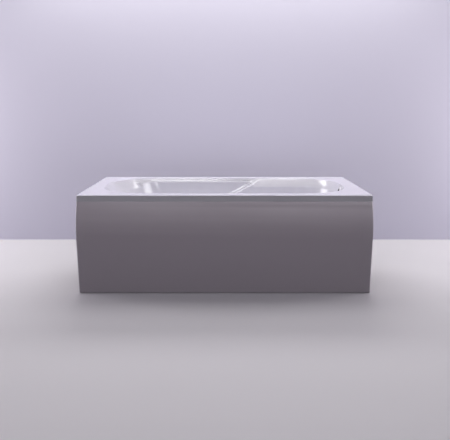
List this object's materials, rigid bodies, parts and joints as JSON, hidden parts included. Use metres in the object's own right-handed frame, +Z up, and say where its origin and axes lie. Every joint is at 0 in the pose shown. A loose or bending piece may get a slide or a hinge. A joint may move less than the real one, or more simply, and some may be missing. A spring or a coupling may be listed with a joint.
{
  "type": "alcove bathtub",
  "caption": "Rectangular acrylic bath with sloping head end, moulded arm rests that sweep up to the rim, bowed front panel, levelling feet, pop-up waste and overflow.",
  "frame": {"origin": "centre of the outline seen from above, at floor level under the feet", "axes": "+X along the bath from the sloping head end to the waste end, +Y from the front panel to the wall, +Z up"},
  "size_m": [1.7, 0.7808, 0.58],
  "materials": {
    "shell_acrylic": "gloss",
    "panel_acrylic": "gloss",
    "particle_board": "raw",
    "timber": "raw",
    "galvanised_steel": "galvanised",
    "zinc_fixings": "zinc plated",
    "foot_plastic": "moulded",
    "chrome_trim": "polished",
    "plug_brass": "turned",
    "seal_rubber": "matte",
    "pipe_plastic": "moulded",
    "overflow_plastic": "moulded",
    "trim_plastic": "gloss"
  },
  "bodies": {
    "bath": {"base_board": "particle_board", "foot_nuts_lower": "zinc_fixings", "foot_nuts_upper": "zinc_fixings", "front_panel": "panel_acrylic", "leg_frame_foot": "galvanised_steel", "leg_frame_head": "galvanised_steel", "leg_frame_screws": "zinc_fixings", "overflow_elbow": "overflow_plastic", "overflow_nuts": "overflow_plastic", "overflow_pipe": "overflow_plastic", "overflow_rosette": "trim_plastic", "overflow_seal": "seal_rubber", "panel_bracket_fixings": "zinc_fixings", "panel_bracket_foot": "galvanised_steel", "panel_bracket_head": "galvanised_steel", "panel_clip_1": "galvanised_steel", "panel_clip_2": "galvanised_steel", "panel_clip_3": "galvanised_steel", "panel_clip_screws": "zinc_fixings", "rim_batten_back": "timber", "rim_batten_foot": "timber", "rim_batten_front": "timber", "rim_batten_head": "timber", "trap_body": "pipe_plastic", "trap_cleaning_cap": "pipe_plastic", "trap_inlet_nut": "pipe_plastic", "trap_outlet_nut": "pipe_plastic", "tub_shell": "shell_acrylic", "wall_bracket_back_foot": "galvanised_steel", "wall_bracket_back_head": "galvanised_steel", "wall_bracket_foot": "galvanised_steel", "wall_bracket_head": "galvanised_steel", "wall_bracket_screws": "zinc_fixings", "waste_body": "pipe_plastic", "waste_cartridge": "pipe_plastic", "waste_flange": "chrome_trim", "waste_gasket_lower": "seal_rubber", "waste_gasket_upper": "seal_rubber"},
    "waste_plug": {"plug_cap": "chrome_trim", "plug_seal": "seal_rubber", "plug_stem": "plug_brass"},
    "foot_head_front": {"foot_stem_head_front": "zinc_fixings", "foot_pad_head_front": "foot_plastic"},
    "foot_head_back": {"foot_stem_head_back": "zinc_fixings", "foot_pad_head_back": "foot_plastic"},
    "foot_foot_front": {"foot_stem_foot_front": "zinc_fixings", "foot_pad_foot_front": "foot_plastic"},
    "foot_foot_back": {"foot_stem_foot_back": "zinc_fixings", "foot_pad_foot_back": "foot_plastic"}
  },
  "joints": [
    {"name": "waste_plug_slide", "type": "slide", "parent": "bath", "child": "waste_plug", "axis": [0, 0, 1], "range_m": [0, 0.008]},
    {"name": "foot_head_front_screw", "type": "slide", "parent": "bath", "child": "foot_head_front", "axis": [0, 0, -1], "range_m": [-0.01, 0.03]},
    {"name": "foot_head_back_screw", "type": "slide", "parent": "bath", "child": "foot_head_back", "axis": [0, 0, -1], "range_m": [-0.01, 0.03]},
    {"name": "foot_foot_front_screw", "type": "slide", "parent": "bath", "child": "foot_foot_front", "axis": [0, 0, -1], "range_m": [-0.01, 0.03]},
    {"name": "foot_foot_back_screw", "type": "slide", "parent": "bath", "child": "foot_foot_back", "axis": [0, 0, -1], "range_m": [-0.01, 0.03]}
  ]
}
